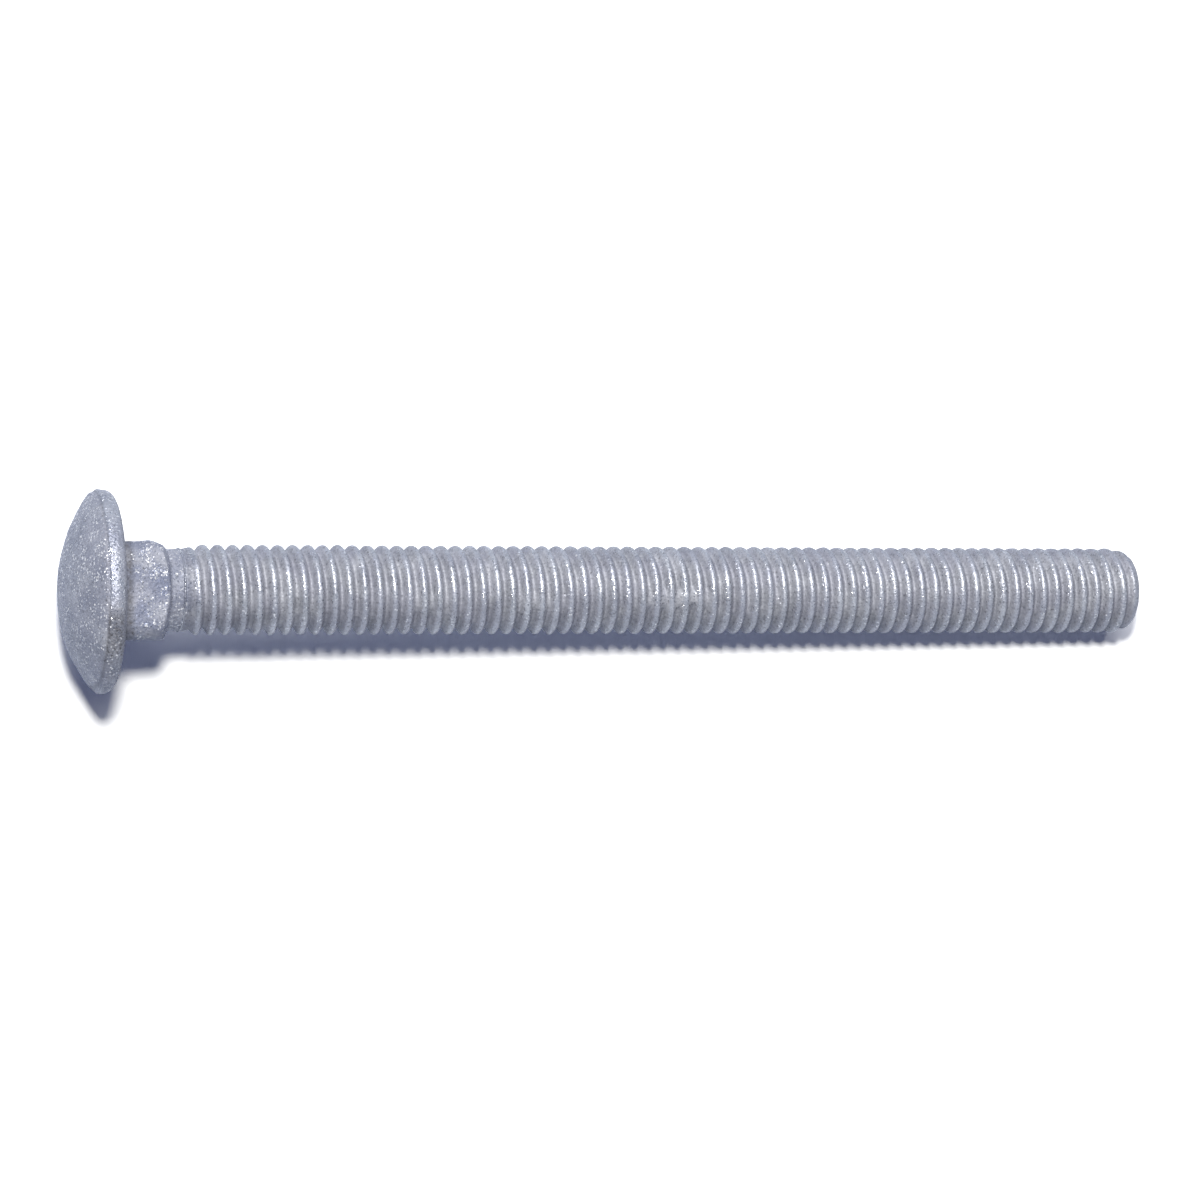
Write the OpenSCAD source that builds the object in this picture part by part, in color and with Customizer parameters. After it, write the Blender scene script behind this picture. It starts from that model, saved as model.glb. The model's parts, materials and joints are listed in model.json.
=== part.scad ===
// Galvanized carriage bolt, 3/8-16 x 4 1/2 in, threaded along its whole shank.
// Lengths are in millimetres and angles in degrees. Every size is taken over the zinc.
// The bolt is drawn standing on the Z axis, with its bearing face at z = 0 and its head
// below. It is then laid down as it comes to rest: on the rim of its head and its last thread.

/* [Head] */
// Diameter of the head across its rim
head_d = 21.0; // [19.8:0.1:21.6]
// Height of the head, from the bearing face to the crown
head_h = 5.45; // [4.8:0.05:5.8]
// Thickness of the rim, from the bearing face to where the dome starts
rim_h = 1.25; // [1.2:0.05:1.6]
// Radius that blends the dome into the rim
rim_top_r = 1.5; // [0.6:0.1:1.8]
// Radius that rounds the rim towards the bearing face
rim_under_r = 1.2; // [0.5:0.05:1.2]

/* [Square neck] */
// Width of the neck across its flats
neck_w = 10.05; // [9.3:0.05:10.3]
// Width of the neck across its rounded corners
neck_corner_d = 12.8; // [12.2:0.05:13]
// Length of the neck, from the bearing face to its end
neck_l = 5.2; // [4.7:0.05:5.6]
// Length of the bevel that leads the corners into the hole
neck_bevel_l = 1.5; // [0.8:0.1:2]
// Width left across the bevel at the end of the neck
neck_end_d = 9.8; // [9.2:0.05:10.2]
// Angle that the neck's flats are turned about the shank
neck_turn = 2; // [0:0.5:10]

/* [Shank] */
// Length of the bolt under its head
length = 113.4; // [100:0.1:125]
// Diameter of the plain shoulder between the neck and the thread
shoulder_d = 8.5; // [8.35:0.05:8.75]
// Length of the plain shoulder
shoulder_l = 1.9; // [0.8:0.1:3]

/* [Thread] */
// Diameter over the crests
thread_d = 9.35; // [9.2:0.05:9.55]
// Threads to the inch
threads_per_inch = 16; // [14:1:18]
// Width of the flat on a crest
crest_w = 0.25; // [0.2:0.01:0.35]
// Width of the flat in a root
root_w = 0.25; // [0.18:0.01:0.3]
// Angle between two flanks
thread_angle = 60; // [55:1:62]
// Length over which the thread fades into the shoulder
runout_l = 1.8; // [1:0.1:3]
// Angle round the shank at which the first turn starts
thread_start = 94; // [0:1:359]

/* [Tip] */
// Diameter of the tip's end, over its chamfer
tip_d = 8.5; // [7.9:0.05:8.6]
// Length of the chamfer on the last thread
tip_chamfer_l = 1.6; // [1:0.1:2.4]
// Width of the broken edge round the end face
tip_edge = 0.25; // [0.15:0.05:0.4]

/* [Smoothness] */
// Flat segments in one turn of the thread
segments = 18; // [14:1:20]

/* [Hidden] */
INCH = 25.4;
ZINC = [0.64, 0.65, 0.68];

head_r = head_d / 2;
dome_h = head_h - rim_h;
rim_centre_r = head_r - rim_top_r;
// The dome passes through the crown and is tangent to the blend at the rim.
dome_r = (pow(dome_h, 2) + pow(rim_centre_r, 2) - pow(rim_top_r, 2)) / (2 * (dome_h - rim_top_r));
dome_centre_z = dome_r - head_h;
dome_half_angle = asin(rim_centre_r / (dome_r - rim_top_r));
bearing_r = head_r - rim_under_r;

thread_r = thread_d / 2;
shoulder_r = shoulder_d / 2;
tip_r = tip_d / 2;
shoulder_end_z = neck_l + shoulder_l;

pitch = INCH / threads_per_inch;
flank_w = (pitch - crest_w - root_w) / 2;
thread_depth = flank_w / tan(thread_angle / 2);
root_r = thread_r - thread_depth;
// The blank that the thread is swept from lies just inside the shoulder.
blank_r = shoulder_r - 0.03;
// One turn is hidden in the shoulder and neck, and two run past the tip to be cut off.
hidden_turns = 1;
spare_turns = 2;
first_z = shoulder_end_z - hidden_turns * pitch;
turns = ceil((length - first_z) / pitch) + spare_turns;

// Each step along the helix has one profile: root, crest, crest, root.
profile_z = [0, flank_w, flank_w + crest_w, 2 * flank_w + crest_w];
profile_r = [root_r, thread_r, thread_r, root_r];
profile_points = len(profile_z);
last_step = turns * segments;

arc_step = 4;
round_fn = 96;
join = 0.5;

function polar(r, a) = [r * cos(a), r * sin(a)];
function arc(centre, r, a0, a1) =
    let (n = max(2, ceil(abs(a1 - a0) / arc_step)))
    [for (i = [0:n]) centre + polar(r, a0 + (a1 - a0) * i / n)];
function smooth(x) = let (t = min(1, max(0, x))) t * t * (3 - 2 * t);

// Radius of profile point k at height z, which fades to the blank's radius at the shoulder.
function swept_r(k, z) = blank_r + (profile_r[k] - blank_r) * smooth((z - shoulder_end_z) / runout_l);
function step_z(s) = first_z + pitch * s / segments;
function sweep_point(s, k) =
    let (a = thread_start + 360 * s / segments, r = swept_r(k, step_z(s)))
    [r * cos(a), r * sin(a), step_z(s) + profile_z[k]];

// Index of profile point k at step s. The point after the last is the first of the next turn,
// and past the last step only those closing points are kept.
function at(s, k) =
    k == profile_points ? at(s + segments, 0)
    : s <= last_step ? s * profile_points + k
    : (last_step + 1) * profile_points + s - last_step - 1;

// Head: a shallow dome that rolls over a rounded rim to the flat bearing face
module head() {
    dome = arc([0, dome_centre_z], dome_r, -90, dome_half_angle - 90);
    rim_top = arc([rim_centre_r, -rim_h], rim_top_r, dome_half_angle - 90, 0);
    rim_under = arc([bearing_r, -rim_under_r], rim_under_r, 0, 90);
    rotate_extrude($fn = round_fn) polygon(concat(dome, rim_top, rim_under, [[0, 0]]));
}

// Square neck: four flats on a round blank, with a bevel turned on the end of its corners
module square_neck() {
    corner_r = neck_corner_d / 2;
    rotate([0, 0, -neck_turn]) intersection() {
        translate([-neck_w / 2, -neck_w / 2, -join]) cube([neck_w, neck_w, neck_l + join]);
        rotate_extrude($fn = round_fn) polygon([
            [0, -2 * join], [corner_r, -2 * join], [corner_r, neck_l - neck_bevel_l],
            [neck_end_d / 2, neck_l], [0, neck_l]
        ]);
    }
}

// Plain shoulder, left by the thread rolls
module shoulder() {
    translate([0, 0, -join]) cylinder(h = shoulder_end_z + join, r = shoulder_r, $fn = round_fn);
}

// Right-hand thread: one profile swept along a helix as a single closed solid
module swept_thread() {
    foot = (last_step + 1) * profile_points + segments;
    points = concat(
        [for (s = [0:last_step], k = [0:profile_points - 1]) sweep_point(s, k)],
        [for (s = [last_step + 1:last_step + segments]) sweep_point(s, 0)],
        [[0, 0, step_z(0)], [0, 0, step_z(last_step + segments)]]
    );
    skin = [for (s = [0:last_step - 1], k = [0:profile_points - 1], half = [0, 1])
        half == 0 ? [at(s, k), at(s, k + 1), at(s + 1, k + 1)]
        : [at(s, k), at(s + 1, k + 1), at(s + 1, k)]];
    start_fan = [for (s = [0:segments - 1]) [foot, at(s, 0), at(s + 1, 0)]];
    end_fan = [for (s = [last_step:last_step + segments - 1]) [foot + 1, at(s + 1, 0), at(s, 0)]];
    start_face = concat([foot], [for (k = [profile_points:-1:0]) at(0, k)]);
    end_face = concat([foot + 1], [for (k = [0:profile_points]) at(last_step, k)]);
    polyhedron(points, concat(skin, start_fan, end_fan, [start_face, end_face]), convexity = 10);
}

// What is cut off past the tip, which leaves a chamfer, a broken edge and a flat end
module tip_waste() {
    reach = 0.4;
    slope = (tip_chamfer_l - tip_edge) / (thread_r - tip_r);
    past_z = step_z(last_step + segments) + join;
    rotate_extrude($fn = round_fn) polygon([
        [0, length], [tip_r - tip_edge, length], [tip_r, length - tip_edge],
        [thread_r + reach, length - tip_chamfer_l - reach * slope],
        [thread_r + 2 * reach, length - tip_chamfer_l - reach * slope],
        [thread_r + 2 * reach, past_z], [0, past_z]
    ]);
}

module standing_bolt() {
    head();
    square_neck();
    shoulder();
    difference() {
        swept_thread();
        tip_waste();
    }
}

// Lying at rest, the rim and the last full crest touch the floor together.
rest_arm = length - tip_chamfer_l + rim_under_r;
rest_drop = bearing_r - thread_r;
rest_tilt = asin(rim_under_r / norm([rest_arm, rest_drop])) + atan2(rest_drop, rest_arm);
rest_h = bearing_r * cos(rest_tilt) + rim_under_r * (1 - sin(rest_tilt));
crown_x = dome_centre_z * cos(rest_tilt) - dome_r;
end_x = length * cos(rest_tilt) + (tip_r - tip_edge) * sin(rest_tilt);

module carriage_bolt() {
    color(ZINC) translate([-(crown_x + end_x) / 2, 0, rest_h])
        rotate([0, 90 + rest_tilt, 0]) standing_bolt();
}

carriage_bolt();
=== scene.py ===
# %% [markdown]
# # A galvanized carriage bolt
# The real bolt is one piece of steel: the head and the square neck are forged on the end of a
# rod, the thread is rolled, and the whole bolt is dipped in molten zinc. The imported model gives
# its true size and its place on the floor. This file gives it the skin that zinc leaves: rounded
# crests, filled roots, small lumps and a matte grey that sparkles.

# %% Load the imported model
import json
import math

import bpy
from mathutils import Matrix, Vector, noise


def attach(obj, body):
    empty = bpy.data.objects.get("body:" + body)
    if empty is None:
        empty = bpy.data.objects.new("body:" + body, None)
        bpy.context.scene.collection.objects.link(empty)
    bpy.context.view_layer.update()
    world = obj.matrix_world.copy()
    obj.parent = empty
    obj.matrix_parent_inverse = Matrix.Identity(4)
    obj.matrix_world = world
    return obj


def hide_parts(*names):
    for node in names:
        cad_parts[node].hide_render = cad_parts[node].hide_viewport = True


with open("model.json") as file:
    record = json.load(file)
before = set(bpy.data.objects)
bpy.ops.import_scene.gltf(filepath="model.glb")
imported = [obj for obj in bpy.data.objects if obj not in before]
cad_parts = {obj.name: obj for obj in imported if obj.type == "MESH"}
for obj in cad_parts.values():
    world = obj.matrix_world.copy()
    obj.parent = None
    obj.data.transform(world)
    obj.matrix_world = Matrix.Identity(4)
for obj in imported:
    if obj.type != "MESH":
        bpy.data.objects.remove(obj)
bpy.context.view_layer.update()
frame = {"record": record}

# %% [markdown]
# ## Where the bolt lies
# The bolt lies on its side. Its head is wider than its thread, so its axis falls a little from
# the head to the tip. A shape like this is easiest to describe along its own axis: a height from
# the bearing face under the head, an angle round the axis and a radius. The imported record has
# the centre of the bearing face and the direction of the axis, so nothing is fitted by eye.

# %% The bolt's own axes
MM = 0.001
mounts = {mount["name"]: mount for mount in frame["record"]["mounts"]}
bearing_centre = Vector(mounts["bearing_face"]["pos_m"])
axis = Vector(mounts["bearing_face"]["axis"]).normalized()
sideways = Vector((0, 1, 0))
downward = sideways.cross(axis)


def place(angle, height, radius):
    """A point on the bolt, in metres, from degrees round the axis and millimetres."""
    turn = math.radians(angle)
    out = downward * math.cos(turn) + sideways * math.sin(turn)
    return bearing_centre + (axis * height + out * radius) * MM


print("axis falls", round(math.degrees(math.asin(-axis.z)), 2), "degrees")

# %% [markdown]
# ## Soft edges
# Zinc clings to every edge and fills every corner, so nothing on this bolt is sharp. A soft
# minimum joins two curves as a plain minimum does, but rounds the corner where they cross. The
# same trick with the signs turned fills a hollow corner. A bell curve makes a low ridge or a
# shallow groove that has no edges of its own.

# %% Curves that blend
def soft_min(a, b, width):
    """The smaller of a and b, with the corner between them rounded over width."""
    mix = min(1, max(0, 0.5 + 0.5 * (b - a) / width))
    return b + (a - b) * mix - width * mix * (1 - mix)


def soft_max(a, b, width):
    return -soft_min(-a, -b, width)


def smooth(x):
    """A step from 0 to 1 with soft ends."""
    x = min(1, max(0, x))
    return x * x * (3 - 2 * x)


def bell(x):
    """A hump that is 1 high at 0 and next to nothing beyond 2."""
    return math.exp(-(x**2))


print("halfway up the step:", smooth(0.5), "and down the bell:", round(bell(0.5), 2))

# %% [markdown]
# ## Dome
# A carriage bolt's head is a shallow dome, forged in a round die, so its outline is an arc
# turned about the axis. The arc passes through the crown and runs smoothly into the rounding
# of the rim, and those two conditions give its radius. Sizes here and below are in
# millimetres, over the zinc.

# %% Rings of the dome
HEAD_D, HEAD_H, RIM_H, RIM_TOP_R, DOME_RINGS = 21.0, 5.45, 1.25, 1.5, 34


def arc(centre, radius, start, end, steps):
    """Points (radius, height) round an arc, without its first one. Angles are in degrees."""
    turns = [math.radians(start + (end - start) * i / steps) for i in range(1, steps + 1)]
    return [(centre[0] + radius * math.cos(a), centre[1] + radius * math.sin(a)) for a in turns]


head_r = HEAD_D / 2
dome_h = HEAD_H - RIM_H
rim_centre = head_r - RIM_TOP_R
dome_r = (dome_h**2 + rim_centre**2 - RIM_TOP_R**2) / (2 * (dome_h - RIM_TOP_R))
dome_half = math.degrees(math.asin(rim_centre / (dome_r - RIM_TOP_R)))
dome_rings = arc((0, dome_r - HEAD_H), dome_r, -90, dome_half - 90, DOME_RINGS)
print("dome radius", round(dome_r, 2), "mm, in", len(dome_rings), "rings")

# %% [markdown]
# ## Rim
# The rim is rounded above and below. Where the dies met, a fine crease runs round it at the
# foot of the dome. It is a bell-shaped groove in the upper rounding.

# %% Rings of the rim
RIM_UNDER_R, RIM_RINGS, UNDER_RINGS = 1.2, 18, 9
CREASE_AT, CREASE_DEPTH, CREASE_WIDTH = -27, 0.06, 5
bearing_r = head_r - RIM_UNDER_R
rim_rings = []
for i in range(1, RIM_RINGS + 1):
    turn = (dome_half - 90) * (1 - i / RIM_RINGS)
    crease = CREASE_DEPTH * bell((turn - CREASE_AT) / CREASE_WIDTH)
    rim_rings += arc((rim_centre, -RIM_H), RIM_TOP_R - crease, turn, turn, 1)
rim_rings += arc((bearing_r, -RIM_UNDER_R), RIM_UNDER_R, 0, 90, UNDER_RINGS)
crease_height = -RIM_H + RIM_TOP_R * math.sin(math.radians(CREASE_AT))
print("crease", round(-crease_height, 2), "mm from the bearing face")

# %% [markdown]
# ## Struck side
# A blow has flattened one side of the dome, so its outline is nearly straight there. The flat
# is deepest in the middle of that side and fades out all round. It stops short of the rim,
# which the bolt rests on.

# %% How far the dome is flattened
FLAT_ANGLE, FLAT_WIDTH, FLAT_FROM, FLAT_DEPTH = 262, 50, 5.5, 0.55
FLAT_FADE, FLAT_RIM_FADE = 3.5, 1.2


def struck(angle, radius, height):
    """How far a point of the dome is pushed towards the bearing face."""
    across = smooth(1 - abs((angle - FLAT_ANGLE + 180) % 360 - 180) / FLAT_WIDTH)
    outward = smooth((radius - FLAT_FROM) / FLAT_FADE)
    above_rim = smooth((-height - RIM_H) / FLAT_RIM_FADE)
    return FLAT_DEPTH * across * outward * above_rim


print("dome flattened by", round(struck(FLAT_ANGLE, 9, -2.5), 2), "mm on one side")

# %% [markdown]
# ## Square neck
# The neck is what makes it a carriage bolt: it is drawn into the wood and keeps the bolt from
# turning. Four flats are struck on a round blank, so its corners stay round, and a bevel leads
# its end into the hole. The metal that the bevel pushed back stands as a low lip round the end,
# and the side towards +Y is rounded off as it nears the end. Every surface is a radius, and the
# soft minimum of them is the neck. The blends say how wide their corners are rounded.

# %% Radius of the neck
NECK_W, NECK_CORNER_D, NECK_L = 10.05, 12.8, 5.2
NECK_BEVEL_L, NECK_END_D, NECK_TURN = 0.8, 9.9, 2
SIDE_END, SIDE_SLOPE = 4.25, 0.55
LIP_H, LIP_W, LIP_AT = 0.06, 0.22, 0.35
CORNER_BLEND, SIDE_BLEND, BEVEL_BLEND = 0.45, 0.3, 0.15


def neck_radius(angle, height):
    from_flat = (angle + NECK_TURN + 45) % 90 - 45
    flat = NECK_W / 2 / math.cos(math.radians(from_flat))
    corner = NECK_CORNER_D / 2
    bevel_slope = (corner - NECK_END_D / 2) / NECK_BEVEL_L
    bevel = corner - (height - (NECK_L - NECK_BEVEL_L)) * bevel_slope
    towards_y = max(0.01, math.sin(math.radians(angle)))
    rounded_side = (SIDE_END + SIDE_SLOPE * (NECK_L - height)) / towards_y
    lip = LIP_H * bell((height - NECK_L + LIP_AT) / LIP_W)
    square = soft_min(soft_min(flat, corner, CORNER_BLEND) + lip, rounded_side, SIDE_BLEND)
    return soft_min(square, bevel, BEVEL_BLEND)


print("neck across flats", 2 * round(neck_radius(-NECK_TURN, 1), 3), "mm")

# %% [markdown]
# ## Thread
# The thread is rolled to a sixty degree V, and the zinc then rounds its crests and fills the
# bottom of its roots. In section that is an arc on the crest, a straight flank and a smaller,
# hollow arc in the root. A helix needs no modifier: the height of a crest rises by one pitch
# in each turn, so the radius at any angle and height follows from the distance to the nearest
# crest. The thread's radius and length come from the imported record.

# %% Section of one thread
INCH, THREADS_PER_INCH, FLANK_ANGLE = 25.4, 16, 60
PITCH, CREST_W, ROOT_W = INCH / THREADS_PER_INCH, 0.25, 0.25
CREST_ARC, ROOT_ARC = 0.4, 0.16
SHOULDER_L, THREAD_START = 1.9, 94
thread_r = mounts["thread"]["dims"]["r_mm"]
shoulder_end = NECK_L + SHOULDER_L
length = shoulder_end + mounts["thread"]["dims"]["length_mm"]
flank_w = (PITCH - CREST_W - ROOT_W) / 2
flank_slope = math.tan(math.radians(FLANK_ANGLE))
arc_reach = math.sin(math.radians(FLANK_ANGLE))
root_low = thread_r + CREST_ARC - flank_slope * PITCH / 2 + ROOT_ARC
first_crest = shoulder_end - PITCH + flank_w + CREST_W / 2


def from_crest(angle, height):
    """Distance along the axis from the nearest crest, towards the tip."""
    crest = first_crest + PITCH * (angle - THREAD_START) / 360
    return (height - crest + PITCH / 2) % PITCH - PITCH / 2


def thread_section(distance):
    """Radius at a distance from a crest."""
    near, far = abs(distance), PITCH / 2 - abs(distance)
    if near < CREST_ARC * arc_reach:
        return thread_r - CREST_ARC + math.sqrt(CREST_ARC**2 - near**2)
    if far < ROOT_ARC * arc_reach:
        return root_low + ROOT_ARC - math.sqrt(ROOT_ARC**2 - far**2)
    return thread_r + CREST_ARC - flank_slope * near


print("length under the head", length, "mm")
print("depth of the thread", round(thread_r - root_low, 3), "mm")

# %% [markdown]
# ## Zinc that stayed in the roots
# A dipped bolt is spun to throw off spare zinc, and some stays in the roots. Noise decides how
# much, and one stretch past the middle is nearly full on one side.

# %% How full the root is
FULL_AT, FULL_LENGTH, FULL_ANGLE, FULL_WIDTH, FULL_SHARE = 59.5, 6, 193, 24, 1.3
PATCHY_L, PATCHY_ROUND, PATCHY_SHARE, PATCHY_FROM = 6, 2, 0.9, 0.1


def root_fill(angle, height):
    """Share of the root's depth that zinc has filled."""
    turn = math.radians(angle)
    round_way = PATCHY_ROUND * math.cos(turn), PATCHY_ROUND * math.sin(turn)
    spot = Vector((height / PATCHY_L, *round_way))
    patchy = max(0, PATCHY_SHARE * noise.noise(spot) - PATCHY_FROM)
    along = smooth(1 - abs(height - FULL_AT) / FULL_LENGTH)
    across = smooth(1 - abs(angle % 360 - FULL_ANGLE) / FULL_WIDTH)
    return min(1, patchy + FULL_SHARE * along * across)


print("fullest root:", round(root_fill(FULL_ANGLE, FULL_AT), 2))

# %% [markdown]
# ## Shank
# The shoulder, the thread and the tip are one radius that depends on the angle and the height.
# The thread grows out of the shoulder over a turn or so. The rod's end was chamfered before the
# thread was rolled, so the last crests are lower than the rest but just as round.

# %% Radius of the shank
SHOULDER_D, RUNOUT_L, FULL_DEPTH = 8.5, 1.8, 0.5
TIP_D, TIP_CHAMFER_L, TIP_EDGE = 8.5, 1.6, 0.25
LOW_CREST_BLEND, ROOT_BLEND, EDGE_BLEND = 0.08, 0.12, 0.2


def shank_radius(angle, height):
    radius = SHOULDER_D / 2
    chamfer_slope = (TIP_CHAMFER_L - TIP_EDGE) / (thread_r - TIP_D / 2)
    chamfer = TIP_D / 2 + (length - TIP_EDGE - height) / chamfer_slope
    if height > shoulder_end:
        full = soft_min(1, (chamfer - root_low) / (thread_r - root_low), LOW_CREST_BLEND)
        cut = root_low + (thread_section(from_crest(angle, height)) - root_low) * full
        filled = root_low + FULL_DEPTH * root_fill(angle, height)
        grown = smooth((height - shoulder_end) / RUNOUT_L)
        radius += (soft_max(cut, filled, ROOT_BLEND) - radius) * grown
    edge = TIP_D / 2 - (height - (length - TIP_EDGE))
    return soft_min(radius, edge, EDGE_BLEND)


print("radius at the end of the tip", round(shank_radius(0, length), 3), "mm")

# %% [markdown]
# ## Lumps in the coat
# Zinc sets as it drains, so its skin has soft waves, finer dimples and a few hard beads. Each is
# noise with a length and a height, and two of them are moved so that the three don't line up.
# They are real shape and not only bump in the material, so they also show along the outline.

# %% Thickness of the coat
WAVE_L, WAVE_H = 2.4, 0.045
DIMPLE_L, DIMPLE_H = 0.75, 0.03
BEAD_L, BEAD_H, BEAD_FROM = 1.1, 0.16, 0.38
DIMPLES_MOVED, BEADS_MOVED = Vector((7, 3, 5)), Vector((2, 9, 4))


def coat(point):
    """Extra height of the zinc, in millimetres, at a point given in metres."""
    at = point / MM
    waves = noise.noise(at / WAVE_L) * WAVE_H
    dimples = noise.noise(at / DIMPLE_L + DIMPLES_MOVED) * DIMPLE_H
    beads = max(0, noise.noise(at / BEAD_L + BEADS_MOVED) - BEAD_FROM) * BEAD_H
    return waves + dimples + beads


print("coat at the crown", round(coat(place(0, -HEAD_H, 0)), 4), "mm")

# %% [markdown]
# ## Columns
# The skin is made of columns that run from the crown to the tip. They are closer together
# beside the corners of the neck, which are the tightest bends round the axis.

# %% Angles of the columns
FLAT_COLUMNS, CORNER_COLUMNS, CROWDING = 18, 6, 0.3
corner_half = 45 - math.degrees(math.acos(NECK_W / NECK_CORNER_D))
flat_half = 45 - corner_half


def quarter_angles():
    """Angles across one flat and one corner, from the middle of the flat's first edge."""
    for i in range(FLAT_COLUMNS):
        s = 2 * i / FLAT_COLUMNS - 1
        yield flat_half * (s * (1 + CROWDING) - CROWDING * s**3)
    for i in range(CORNER_COLUMNS):
        yield flat_half + 2 * corner_half * i / CORNER_COLUMNS


columns = sorted(
    (quarter * 90 - NECK_TURN + turned) % 360
    for quarter in range(4)
    for turned in quarter_angles()
)
print(len(columns), "columns; a corner is", round(2 * corner_half, 1), "degrees wide")

# %% [markdown]
# ## Stations on the head
# Each column is a list of stations, and a station is a height, a radius and how much of the
# coat's relief it takes. Under the head the flat ring runs in from the rim to the neck, and a
# small hollow fillet of zinc fills the corner between them.

# %% Stations of the head
FILLET, FACE_RINGS, FILLET_RINGS = 0.22, 10, 3
DOME_RELIEF, RIM_RELIEF, FACE_RELIEF = 0.7, 1.1, 0.5


def steps(start, end, count):
    """count values from start to end, without start."""
    return [start + (end - start) * i / count for i in range(1, count + 1)]


def head_stations(angle):
    outline = []
    for rings, share in ((dome_rings, DOME_RELIEF), (rim_rings, RIM_RELIEF)):
        for radius, height in rings:
            outline.append((height + struck(angle, radius, height), radius, share))
    foot = neck_radius(angle, 0) + FILLET
    outline += [(0, radius, FACE_RELIEF) for radius in steps(bearing_r, foot, FACE_RINGS)]
    for turn in steps(0, 90, FILLET_RINGS):
        lift = FILLET * (1 - math.cos(math.radians(turn)))
        inward = FILLET * math.sin(math.radians(turn))
        outline.append((lift, foot - inward, FACE_RELIEF))
    return outline


print("stations on the head:", len(head_stations(0)))

# %% [markdown]
# ## Stations on the neck and the shoulder
# The neck was pressed hardest, so the coat is roughest there. Where the thread begins, the edge
# of the thread rolls has pushed up a thin ring, and the stations stand closer together to draw
# it. So far all columns have the same number of stations, and they will join into plain rings.

# %% Stations of the neck and shoulder
RING_AT, RING_H, RING_W, RING_REACH = 6.82, 0.14, 0.08, 0.2
NECK_RELIEF, LEDGE_RELIEF, SHOULDER_RELIEF = 1.6, 1, 1.2
NECK_RINGS, BEVEL_RINGS, SHOULDER_RINGS, RING_RINGS = 15, 10, 5, 9
LEDGE_L, LEDGE_SHARES = 0.2, (0.4, 0.8, 1)
HELIX_FROM = shoulder_end - 0.05


def ring(height):
    """Share of the full height of the ring before the thread."""
    return bell((height - RING_AT) / RING_W)


def neck_stations(angle):
    bevel_from, ring_from = NECK_L - NECK_BEVEL_L, RING_AT - RING_REACH
    heights = steps(FILLET, bevel_from, NECK_RINGS) + steps(bevel_from, NECK_L, BEVEL_RINGS)
    outline = [(height, neck_radius(angle, height), NECK_RELIEF) for height in heights]
    neck_end, shoulder_r = outline[-1][1], SHOULDER_D / 2
    for share in LEDGE_SHARES:
        radius = neck_end + (shoulder_r - neck_end) * share
        outline.append((NECK_L + LEDGE_L * share, radius, LEDGE_RELIEF))
    heights = steps(NECK_L + LEDGE_L, ring_from, SHOULDER_RINGS)
    for height in heights + steps(ring_from, HELIX_FROM, RING_RINGS):
        outline.append((height, shoulder_r + RING_H * ring(height), SHOULDER_RELIEF))
    return outline


print("stations on the neck and the shoulder:", len(neck_stations(0)))

# %% [markdown]
# ## Stations that follow the helix
# A ring would cut across the crests and make them ragged. Here each column gets its stations
# at fixed distances from its own crests, so a line of vertices runs along every crest and
# every root, as the edges of the real thread do.

# %% Stations of the thread and the tip
CREST_STATIONS = (-0.21, -0.1, 0, 0.1, 0.21)
FLANK_STATIONS = (-0.52, -0.36, 0.36, 0.52)
ROOT_STATIONS = (-0.66, 0.66, PITCH / 2)
HELIX_TO = length - TIP_EDGE - 0.1
HELIX_GAP, TURNS_BEFORE, EDGE_RINGS, END_RINGS = 0.04, 3, 5, 9


def thread_stations(angle):
    first = first_crest + PITCH * (angle - THREAD_START) / 360
    turns = range(-TURNS_BEFORE, math.ceil(length / PITCH) + 1)
    offsets = CREST_STATIONS + FLANK_STATIONS + ROOT_STATIONS
    heights = sorted(first + PITCH * turn + offset for turn in turns for offset in offsets)
    kept = [h for h in heights if HELIX_FROM + HELIX_GAP < h < HELIX_TO - HELIX_GAP]
    return [(height, shank_radius(angle, height), 1) for height in kept]


def tip_stations(angle):
    heights = [HELIX_TO] + steps(HELIX_TO, length, EDGE_RINGS)
    outline = [(height, shank_radius(angle, height), 1) for height in heights]
    face = outline[-1][1]
    return outline + [(length, radius, 1) for radius in steps(face, 0, END_RINGS)[:-1]]


print("stations in the thread:", len(thread_stations(0)), "and the tip:", len(tip_stations(0)))

# %% [markdown]
# ## Points of the skin
# A station becomes a point, which the coat's relief then moves out of the surface: backwards on
# the crown, forwards on the two flat faces, and away from the axis elsewhere. The head was upset
# a little off the centre of the rod, so the head and the neck are shifted sideways, and the
# shift fades out along the shoulder. No point goes below the floor.

# %% A point with its coat
OFF_CENTRE, OFF_UNTIL = 0.2, 8
CROWN_L, RIM_W = 4, 1


def relief(angle, height, radius, share):
    """The point of a station, with its share of the coat's relief."""
    off = OFF_CENTRE * (1 - smooth(height / OFF_UNTIL))
    point = place(angle, height, radius) - sideways * off * MM
    thickness = coat(point) * share * MM
    out = (place(angle, height, 1) - place(angle, height, 0)) / MM
    facing_back = smooth((CROWN_L - HEAD_H - height) / CROWN_L) if radius < head_r - RIM_W else 0
    on_face = height == 0 or height == length
    lean = -facing_back if height < 0 else (1 if on_face else 0)
    way = (out * (1 - abs(lean)) + axis * lean).normalized()
    moved = point + way * thickness
    return Vector((moved.x, moved.y, max(0, moved.z)))


print("crown at", [round(c, 5) for c in relief(0, -HEAD_H, 0, 0)])

# %% [markdown]
# ## Marks for the finish
# The finish has to know where on the bolt it is, so four marks go with every point. Hollow is
# high in the roots, in the crease and in the corner under the head. Crest and rim are high
# where handling rubs the zinc. Matte is the share of dull alloy: the thick head and neck
# stayed hot for longer, so more of their zinc turned to alloy with the steel.

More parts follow.
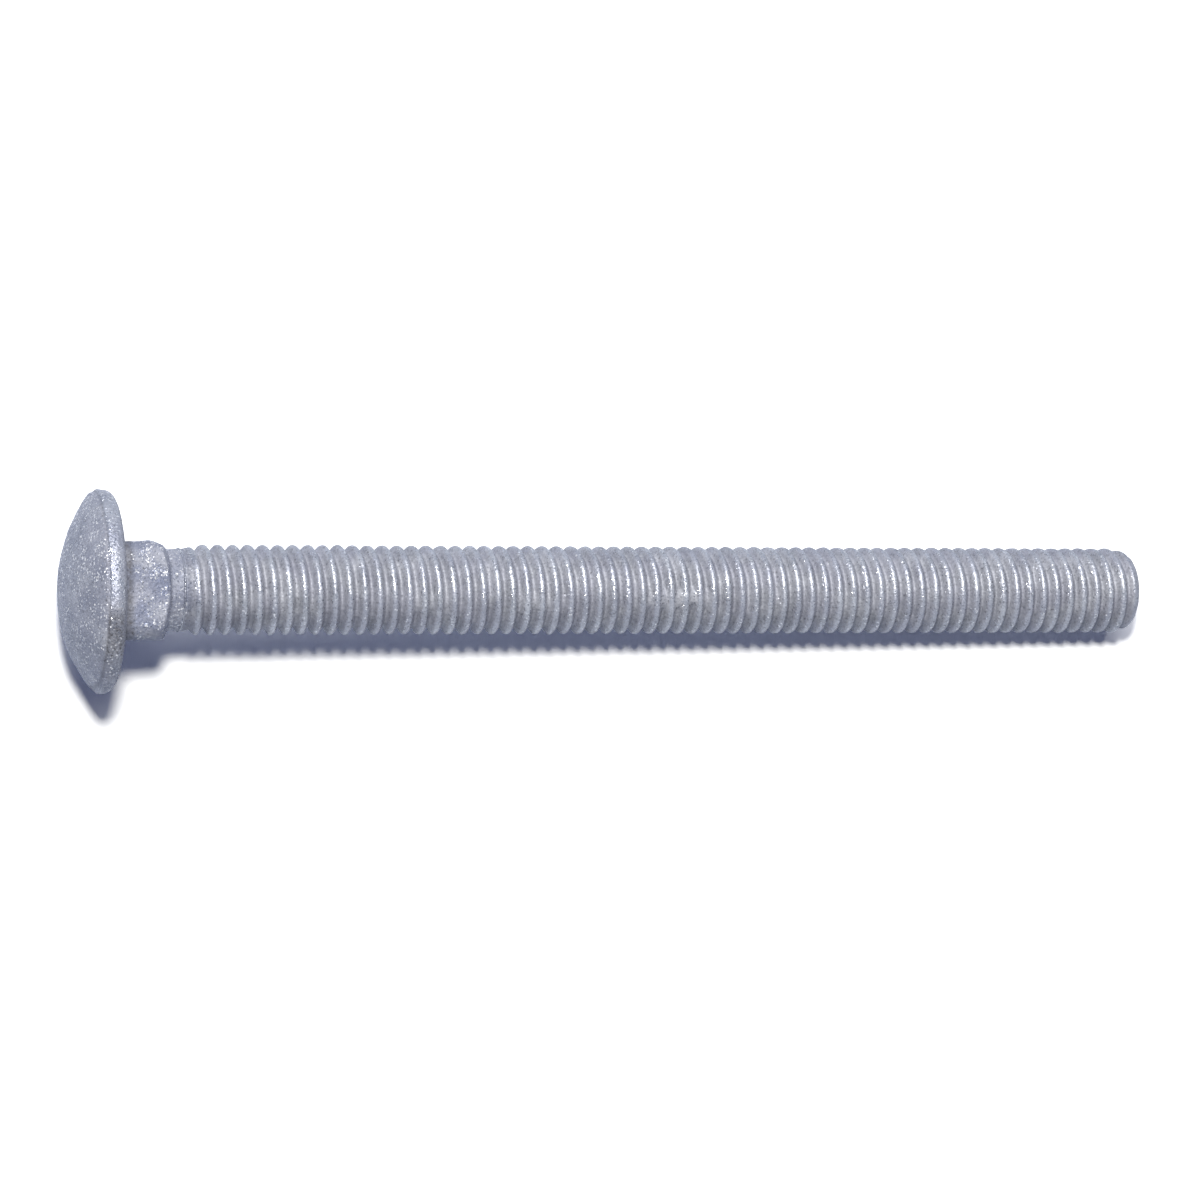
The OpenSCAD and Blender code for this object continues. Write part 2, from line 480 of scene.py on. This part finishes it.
# %% Marks of a point
MARKS = ("hollow", "crest", "rim", "matte")
HEAD_MATTE, NECK_MATTE, SHOULDER_MATTE, MATTE_FADE = 0.34, 0.68, 0.5, 1.2
CREST_SHARE, CREST_FADE, RING_SHINE = 0.3, 0.8, 1.3
CORNER_FROM, CORNER_RISE, CORNER_TO, CORNER_FALL = -0.5, 0.35, 1.6, 0.5
CREASE_REACH, RIM_BLEND, RIM_FALL = 0.12, 0.15, 0.6


def matte_share(height):
    if height <= 0:
        return HEAD_MATTE
    if height <= NECK_L:
        return NECK_MATTE
    fading = smooth(1 - (height - shoulder_end) / MATTE_FADE)
    return SHOULDER_MATTE * fading * (1 - ring(height))


def marks(angle, height, radius):
    """The four marks, in the order of their names."""
    if HELIX_FROM < height < length:
        depth = thread_r - root_low
        hollow = min(1, max(0, (thread_r - radius) / depth))
        below = (thread_r - thread_section(from_crest(angle, height))) / depth
        crest = smooth(1 - below / CREST_SHARE) * smooth((height - shoulder_end) / CREST_FADE)
        return hollow, crest, 0, matte_share(height)
    on_rim = radius > bearing_r - RIM_W
    above_crease = height - crease_height
    hollow = bell(above_crease / CREASE_REACH) if on_rim else 0
    rim = smooth(above_crease / RIM_BLEND + 0.5) * smooth(-height / RIM_FALL) if on_rim else 0
    if height > CORNER_FROM:
        rising = smooth((height - CORNER_FROM) / CORNER_RISE)
        hollow = rising * smooth((CORNER_TO - height) / CORNER_FALL)
    return hollow, RING_SHINE * ring(height), rim, matte_share(height)


print(dict(zip(MARKS, marks(0, -1, head_r))))

# %% [markdown]
# ## Join the columns
# Neighbouring columns are joined by triangles. Where both have the same number of stations
# this makes plain rings. In the thread the counts differ by a few where the helix starts and
# ends, so each step takes the shorter of the two diagonals, and the seam closes by itself.

# %% Triangles between two columns
def zip_columns(left, right, points):
    """Triangles between two columns, which are lists of vertex numbers."""
    faces, i, j = [], 0, 0
    while i < len(left) - 1 or j < len(right) - 1:
        if i == len(left) - 1:
            go_left = False
        elif j == len(right) - 1:
            go_left = True
        else:
            up_left = (points[left[i + 1]] - points[right[j]]).length
            up_right = (points[left[i]] - points[right[j + 1]]).length
            go_left = up_left < up_right
        if go_left:
            faces.append((left[i], left[i + 1], right[j]))
            i += 1
        else:
            faces.append((left[i], right[j + 1], right[j]))
            j += 1
    return faces


square = [Vector((x, y, 0)) for x in (0, 1) for y in (0, 1)]
print("a square makes", zip_columns([0, 1], [2, 3], square))

# %% [markdown]
# ## Skin
# Every column has three parts: the rings of the head, the neck and the shoulder, the thread,
# and the tip. Neighbours are joined part by part, so that rings stay rings. All columns share
# one point at the crown and one in the middle of the end face, which closes the skin.

# %% Build the skin
def build_skin():
    """Points, triangles and marks of the whole skin."""
    points = [relief(0, -HEAD_H, 0, 0), relief(0, length, 0, 1)]
    point_marks = [(0, 0, 0, HEAD_MATTE), (0, 0, 0, 0)]
    all_parts = []
    for angle in columns:
        parts = [[0]]
        rings = head_stations(angle) + neck_stations(angle)
        for stations in (rings, thread_stations(angle), tip_stations(angle)):
            for height, radius, share in stations:
                parts[-1].append(len(points))
                points.append(relief(angle, height, radius, share))
                point_marks.append(marks(angle, height, radius))
            parts.append([parts[-1][-1]])
        parts[-1].append(1)
        all_parts.append(parts)
    faces = []
    for i, left_parts in enumerate(all_parts):
        for left, right in zip(left_parts, all_parts[(i + 1) % len(all_parts)]):
            faces += zip_columns(left, right, points)
    return points, faces, point_marks


skin_points, skin_faces, skin_marks = build_skin()
bolt_mesh = bpy.data.meshes.new("carriage_bolt_skin")
bolt_mesh.from_pydata(skin_points, [], skin_faces)
bolt_mesh.validate()
for name, values in zip(MARKS, zip(*skin_marks)):
    bolt_mesh.attributes.new(name, "FLOAT", "POINT").data.foreach_set("value", values)
bolt_mesh.polygons.foreach_set("use_smooth", [True] * len(bolt_mesh.polygons))
bolt = bpy.data.objects.new("galvanized_bolt", bolt_mesh)
bpy.context.scene.collection.objects.link(bolt)
print("skin:", len(bolt_mesh.vertices), "vertices,", len(bolt_mesh.polygons), "triangles")

# %% [markdown]
# ## Shader maths as Python
# A material is a net of nodes. This small class wraps one socket, so that sums on a value read
# as sums, and one method adds any other node.

# %% A socket that can be added and multiplied
class Value:
    """One socket of a material, on which Python's operators add Math nodes."""

    def __init__(self, socket):
        self.socket = socket

    @staticmethod
    def node(tree, kind, settings=None, inputs=None, output=0):
        """Add a node: its settings first, then the values or links of its sockets."""
        new = tree.nodes.new(kind)
        for name, setting in (settings or {}).items():
            if name == "stops":
                for stop, (position, grey) in zip(new.color_ramp.elements, setting):
                    stop.position, stop.color = position, (grey, grey, grey, 1)
            else:
                setattr(new, name, setting)
        for name, value in (inputs or {}).items():
            if isinstance(value, Value):
                tree.links.new(value.socket, new.inputs[name])
            else:
                new.inputs[name].default_value = value
        return Value(new.outputs[output])

    def maths(self, operation, *values):
        settings = {"operation": operation}
        return Value.node(self.socket.id_data, "ShaderNodeMath", settings, dict(enumerate(values)))

    def __add__(self, other):
        return self.maths("ADD", self, other)

    def __sub__(self, other):
        return self.maths("SUBTRACT", self, other)

    def __rsub__(self, other):
        return self.maths("SUBTRACT", other, self)

    def __mul__(self, other):
        return self.maths("MULTIPLY", self, other)

    def clamped(self):
        return self.maths("MINIMUM", self.maths("MAXIMUM", self, 0), 1)

    __radd__ = __add__
    __rmul__ = __mul__


# %% [markdown]
# ## A finish for the zinc
# The finish is worked out from the place on the bolt and the four marks, with no pictures. Two
# short helpers do most of the work: mottle is noise with grains of a given size, and ramp
# turns the middle of its range into a clear step.

# %% Material and its helpers
zinc = bpy.data.materials.new("zinc_coated_steel")
zinc.use_nodes = True
zinc_tree = zinc.node_tree


def add(kind, settings=None, inputs=None, output=0):
    return Value.node(zinc_tree, kind, settings, inputs, output)


where = add("ShaderNodeTexCoord", output="Object")


def mottle(size_mm, detail):
    inputs = {"Vector": where, "Scale": 1 / (size_mm * MM), "Detail": detail}
    return add("ShaderNodeTexNoise", None, inputs, "Fac")


def ramp(value, *stops):
    return add("ShaderNodeValToRGB", {"stops": stops}, {"Fac": value})


def blend(share, a, b):
    return add("ShaderNodeMix", {"data_type": "RGBA"}, {0: share, 6: a, 7: b}, 2)


hollow, crest, rim, matte = [
    add("ShaderNodeAttribute", {"attribute_name": name}, output="Fac") for name in MARKS
]
print("marks in the finish:", MARKS)

# %% [markdown]
# ## Colour of the skin
# Fresh zinc is pale. As it weathers it dulls to a blue-grey, in patches and in fine grain, and
# here and there it has a violet tinge. The alloy on the head and the neck is darker still.

# %% Pale, dull and alloyed zinc
ZINC_PALE, ZINC_DULL = (0.49, 0.505, 0.57, 1), (0.26, 0.272, 0.32, 1)
ZINC_VIOLET, ZINC_ALLOY = (0.28, 0.285, 0.375, 1), (0.178, 0.2, 0.295, 1)
PATCH_MM, GRAIN_MM, VIOLET_MM = 2.2, 0.25, 3.5
PATCH_SHARE, GRAIN_SHARE, HOLLOW_SHARE, VIOLET_SHARE = 0.45, 0.55, 0.15, 0.3
ALLOY_EVEN, ALLOY_PATCHY = 0.6, 0.8
patches = ramp(mottle(PATCH_MM, 3), (0.35, 0), (0.65, 1))
grain = ramp(mottle(GRAIN_MM, 2), (0.32, 0), (0.68, 1))
# Hollow dulls the roots, where the coat weathers, and also darkens the crease and the corner under
# the head as painted shade.
dull = (patches * PATCH_SHARE + grain * GRAIN_SHARE + hollow * HOLLOW_SHARE).clamped()
violet = ramp(mottle(VIOLET_MM, 2), (0.42, 0), (0.6, 1))
colour = blend(violet * VIOLET_SHARE, blend(dull, ZINC_PALE, ZINC_DULL), ZINC_VIOLET)
alloyed = (matte * (ALLOY_EVEN + ALLOY_PATCHY * patches)).clamped()
colour = blend(alloyed, colour, ZINC_ALLOY)
print("patches of", PATCH_MM, "mm with grains of", GRAIN_MM, "mm")

# %% [markdown]
# ## Dirt and painted shade
# Dark specks lie all over the skin. The half of the rim towards +Y is polished by handling. A
# stretch of the other half is pitted, and the pits hold dirt. Both stretches end where a ramp
# along Y does, and noise makes those ends ragged. The corner under the head and the crease on
# the rim are darkened with painted shade.

# %% Specks, pits, and painted shade in the corner under the head
ZINC_DIRT_AND_SHADE, PIT_MM, CORNER_MM = (0.09, 0.09, 0.105, 1), 0.3, 0.5
RIM_PER_M, RAGGED, POLISHED_END, PITTED_END = 400, 1.4, 0.6, 2.4
SPECK_SHARE, PIT_SHARE, PITTED_SHARE, CORNER_SHADE_SHARE = 0.6, 0.5, 0.35, 1.1
across_bolt = add("ShaderNodeSeparateXYZ", None, {0: where}, "Y")
ragged_y = across_bolt * RIM_PER_M + RAGGED * mottle(PIT_MM, 3)
upper = ramp(ragged_y + POLISHED_END, (0.2, 0), (0.8, 1))
not_lowest = ramp(ragged_y + PITTED_END, (0.2, 0), (0.8, 1))
polished, pitted = rim * upper, rim * (1 - upper) * not_lowest
specks = ramp(mottle(GRAIN_MM, 1), (0.66, 0), (0.74, 1))
pits = ramp(mottle(PIT_MM, 3), (0.48, 0), (0.66, 1)) * pitted
# Painted shade: the corner under the head and the crease on the rim are darkened in the colour.
corner_painted_shade = hollow * matte * ramp(mottle(CORNER_MM, 3), (0.35, 0.4), (0.6, 1))
soiled_and_shaded = specks * SPECK_SHARE + pits * PIT_SHARE
soiled_and_shaded = soiled_and_shaded + pitted * PITTED_SHARE + corner_painted_shade * CORNER_SHADE_SHARE
colour = blend(soiled_and_shaded.clamped(), colour, ZINC_DIRT_AND_SHADE)
print("dirt colour:", ZINC_DIRT_AND_SHADE[:3])

# %% [markdown]
# ## Crystals
# Zinc sets in small crystals, and here and there one faces the light and flashes. Each crystal
# is a cell with a number of its own. The cells with a high number are glossy, and the few
# highest are painted nearly white, as painted glints. They come in clusters, most of all on the
# neck's side towards +Y, where the glints paint a highlight on the lit side, and not in the roots.

# %% Bright crystals and painted glints
CRYSTAL_MM, CLUSTER_MM = 0.15, 1.1
ZINC_PAINTED_GLINT, PAINTED_GLINT_SHARE = (0.8, 0.8, 0.84, 1), 0.78
IN_CLUSTERS, ON_ALLOY, ON_NECK_SIDE_HIGHLIGHT, IN_ROOTS, EVERYWHERE = 0.1, 0.12, 0.28, -0.3, -0.05
NECK_PER_M, NECK_SHIFT = 200, 0.3
crystal_inputs = {"Vector": where, "Scale": 1 / (CRYSTAL_MM * MM)}
crystals = add("ShaderNodeTexVoronoi", None, crystal_inputs, "Color")
cluster = ramp(mottle(CLUSTER_MM, 2), (0.42, 0), (0.62, 1))
# Painted highlight: the neck's side towards +Y gets more crystals, glossy ones and painted white
# ones, so that side reads lit.
neck_side_gloss_and_highlight = matte * ramp(across_bolt * NECK_PER_M + NECK_SHIFT, (0.1, 0), (0.9, 1))
number = add("ShaderNodeSeparateColor", None, {0: crystals}, 0)
number = number + cluster * (IN_CLUSTERS + ON_ALLOY * matte + ON_NECK_SIDE_HIGHLIGHT * neck_side_gloss_and_highlight)
number = number + hollow * IN_ROOTS + EVERYWHERE
bright = ramp(number, (0.74, 0), (0.8, 1))
# Painted glint: the highest crystals are painted nearly white in the colour.
painted_glint = ramp(number, (0.93, 0), (0.97, 1))
colour = blend(painted_glint * PAINTED_GLINT_SHARE, colour, ZINC_PAINTED_GLINT)
print("crystals of", CRYSTAL_MM, "mm in clusters of", CLUSTER_MM, "mm")

# %% [markdown]
# ## Shine
# The skin is rough and only partly like bare metal, since zinc grows a thin dull film. Where it
# is rubbed, on the crests and the upper rim, and on the bright crystals, the film is gone.

# %% Roughness and metal
ROUGHNESS, GRAIN_ROUGH, ALLOY_ROUGH = 0.56, 0.08, 0.06
BRIGHT_GLOSS, POLISHED_GLOSS, CREST_GLOSS = 0.36, 0.18, 0.17
METAL_SHARE, CREST_METAL, POLISHED_METAL, BRIGHT_METAL = 0.25, 0.6, 0.4, 0.4
rough = ROUGHNESS + GRAIN_ROUGH * grain + ALLOY_ROUGH * matte
rough = rough - BRIGHT_GLOSS * bright - POLISHED_GLOSS * polished - CREST_GLOSS * crest
metal = METAL_SHARE + CREST_METAL * crest + POLISHED_METAL * polished + BRIGHT_METAL * bright
print("metal share where nothing is rubbed:", METAL_SHARE)

# %% [markdown]
# ## Fine relief
# The crystals lie at slightly different angles, so each gets a small tilt, which is larger on
# the bright ones. Relief that is too fine for the mesh is added as bump, and it is stronger on
# the head and the neck than on the thread.

# %% Tilt and bump, and the finished material
CRYSTAL_TILT, DULL_TILT, CREST_CALM = 0.5, 0.4, 0.5
BUMP_MM, BUMP_H_MM, BUMP_STRENGTH, ALLOY_BUMP, RIM_BUMP = 0.28, 0.08, 0.9, 0.8, 0.5
lean_way = add("ShaderNodeVectorMath", {"operation": "SUBTRACT"}, {0: crystals, 1: (0.5,) * 3})
lean_size = CRYSTAL_TILT * (DULL_TILT + bright) * (1 - CREST_CALM * crest)
tilt = add("ShaderNodeVectorMath", {"operation": "SCALE"}, {0: lean_way, "Scale": lean_size})
facing = add("ShaderNodeNewGeometry", output="Normal")
tilted = add("ShaderNodeVectorMath", {"operation": "ADD"}, {0: facing, 1: tilt})
tilted = add("ShaderNodeVectorMath", {"operation": "NORMALIZE"}, {0: tilted})
bump_height = mottle(BUMP_MM, 3) * (1 + ALLOY_BUMP * matte + RIM_BUMP * rim)
bump_inputs = {"Height": bump_height, "Normal": tilted}
bump_inputs |= {"Strength": BUMP_STRENGTH, "Distance": BUMP_H_MM * MM}
bumped = add("ShaderNodeBump", None, bump_inputs, "Normal")

zinc_shader = zinc_tree.nodes["Principled BSDF"]
zinc_tree.links.new(colour.socket, zinc_shader.inputs["Base Color"])
zinc_tree.links.new(rough.clamped().socket, zinc_shader.inputs["Roughness"])
zinc_tree.links.new(metal.clamped().socket, zinc_shader.inputs["Metallic"])
zinc_tree.links.new(bumped.socket, zinc_shader.inputs["Normal"])
bolt_mesh.materials.append(zinc)
print("finish:", zinc.name, "with", len(zinc_tree.nodes), "nodes")

# %% [markdown]
# ## In place of the plain model
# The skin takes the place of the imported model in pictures. It rides on the bolt's one body, and
# its slot names the material for those who refinish it.

# %% Say what the skin stands for
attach(bolt, "root")
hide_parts("carriage_bolt")
print(bolt.name, "replaces carriage_bolt")

# %% [markdown]
# ## What a ray is looking for
# The floor and the sky have one colour for whoever looks at them, also in metal or glass, and
# another for the light that they throw on the bolt. A ray says which of the two it wants.

# %% Rays that look
def seen_directly(tree):
    """One where a camera, glossy or transmission ray looks, and zero for other light."""
    rays = tree.nodes.new("ShaderNodeLightPath").outputs
    looks = Value(rays["Is Camera Ray"]) + Value(rays["Is Glossy Ray"])
    return (looks + Value(rays["Is Transmission Ray"])).clamped()


# %% [markdown]
# ## Floor
# The bolt lies on a white floor that is overexposed around it. To a camera or a mirror-like
# surface the floor is a very pale blue, which the zinc shows in its shade. To all other light it
# is a little darker, so it throws less light back on the bolt. To the camera alone a second
# share of white is added, which burns the lit floor out to pure white and leaves the bolt's
# shadow.

# %% White floor
FLOOR_SIZE = 3
FLOOR_SEEN, FLOOR_FELT = (0.82, 0.89, 1, 1), (0.68, 0.76, 1, 1)
FLOOR_LIFT = (0.8, 0.77, 0.74, 1)
bpy.ops.mesh.primitive_plane_add(size=FLOOR_SIZE)
floor = bpy.context.object
floor.name = "white_floor"
floor_finish = bpy.data.materials.new("white_floor")
floor_finish.use_nodes = True
floor_tree = floor_finish.node_tree
floor_shader = floor_tree.nodes["Principled BSDF"]
floor_inputs = {0: seen_directly(floor_tree), 6: FLOOR_FELT, 7: FLOOR_SEEN}
floor_colour = Value.node(floor_tree, "ShaderNodeMix", {"data_type": "RGBA"}, floor_inputs, 2)
floor_tree.links.new(floor_colour.socket, floor_shader.inputs["Base Color"])
floor_shader.inputs["Roughness"].default_value = 1
floor_shader.inputs["Specular IOR Level"].default_value = 0
lift = Value.node(floor_tree, "ShaderNodeBsdfDiffuse", None, {"Color": FLOOR_LIFT})
plain = Value(floor_shader.outputs[0])
lifted = Value.node(floor_tree, "ShaderNodeAddShader", None, {0: plain, 1: lift})
to_camera = Value.node(floor_tree, "ShaderNodeLightPath", output="Is Camera Ray")
shown = Value.node(floor_tree, "ShaderNodeMixShader", None, {0: to_camera, 1: plain, 2: lifted})
floor_tree.links.new(shown.socket, floor_tree.nodes["Material Output"].inputs["Surface"])
floor.data.materials.append(floor_finish)
print("floor is", FLOOR_SIZE, "m wide")

# %% [markdown]
# ## Lamps
# The key lamp is small and hangs nearly beside the camera, a little towards +Y. So the shadow
# is short and falls to the near side, its edge shows the crests, and each crest carries a thin
# bright line. A much broader lamp further towards +Y fills the upper flanks. A lamp's share is
# given as the part of full white that it would lend a level floor. A white floor turns fully
# white under pi watts on each square metre.

# %% Key and fill
WHITE_FLOOR = math.pi
KEY_AT, KEY_WIDTH, KEY_SHARE = (-0.09, 0.105, 0.39), 0.057, 0.74
FILL_AT, FILL_WIDTH, FILL_SHARE = (-0.03, 0.39, 0.5), 0.44, 0.39
KEY_COLOUR, FILL_COLOUR = (1, 0.965, 0.87), (0.99, 0.98, 0.96)


def soft_lamp(name, at, width, share, colour):
    """A round lamp aimed at the bolt that gives a level floor this share of a full white."""
    place_at = Vector(at)
    lamp = bpy.data.lights.new(name, "AREA")
    lamp.shape, lamp.size = "DISK", width
    lamp.energy = WHITE_FLOOR * share * math.pi * place_at.length**3 / place_at.z
    lamp.color = colour
    holder = bpy.data.objects.new(name, lamp)
    holder.location = place_at
    holder.rotation_euler = place_at.to_track_quat("Z", "Y").to_euler()
    bpy.context.scene.collection.objects.link(holder)
    print(name, "gives", round(lamp.energy, 2), "W at", round(place_at.length, 3), "m")


soft_lamp("key_light", KEY_AT, KEY_WIDTH, KEY_SHARE, KEY_COLOUR)
soft_lamp("fill_light", FILL_AT, FILL_WIDTH, FILL_SHARE, FILL_COLOUR)

# %% [markdown]
# ## Sky
# The sky is dim and blue, so the shade turns lavender. Seen directly it is nearly white, like
# the floor.

# %% Dim blue sky
SKY_SEEN, SKY_FELT, SKY_STRENGTH = (0.92, 0.96, 1, 1), (0.54, 0.6, 1), 0.08
sky_light = [c * SKY_STRENGTH for c in SKY_FELT] + [1]
world = bpy.data.worlds.new("studio")
bpy.context.scene.world = world
world.use_nodes = True
sky_tree = world.node_tree
sky_inputs = {0: seen_directly(sky_tree), 6: sky_light, 7: SKY_SEEN}
sky_colour = Value.node(sky_tree, "ShaderNodeMix", {"data_type": "RGBA"}, sky_inputs, 2)
sky_tree.links.new(sky_colour.socket, sky_tree.nodes["Background"].inputs["Color"])
print("sky gives", [round(c, 3) for c in sky_light[:3]])

# %% [markdown]
# ## Camera
# The photograph looks down on the bolt from the head's side, so the crown shows and the tip's
# end face doesn't. The lean was worked out from how the circles of the head and the crests
# open along the bolt.

# %% Camera
CAMERA_LEAN, CAMERA_REACH, LENS_MM = 14.03, 0.3956, 111.2
CAMERA_AIM = (-0.00168, -0.00107, 0.0075)
camera_data = bpy.data.cameras.new("camera")
camera_data.lens = LENS_MM
camera = bpy.data.objects.new("camera", camera_data)
lean = math.radians(CAMERA_LEAN)
way_back = Vector((-math.sin(lean), 0, math.cos(lean)))
camera.location = Vector(CAMERA_AIM) + way_back * CAMERA_REACH
camera.rotation_euler = (0, -lean, 0)
bpy.context.scene.collection.objects.link(camera)
bpy.context.scene.camera = camera
bpy.context.scene.view_settings.view_transform = "Standard"
print("camera at", [round(c, 4) for c in camera.location])

# %% [markdown]
# ## The end
# The scene is brought up to date at the end. The skin has to stay inside the imported
# model's box.

# %% Bring the scene up to date
bpy.context.view_layer.update()
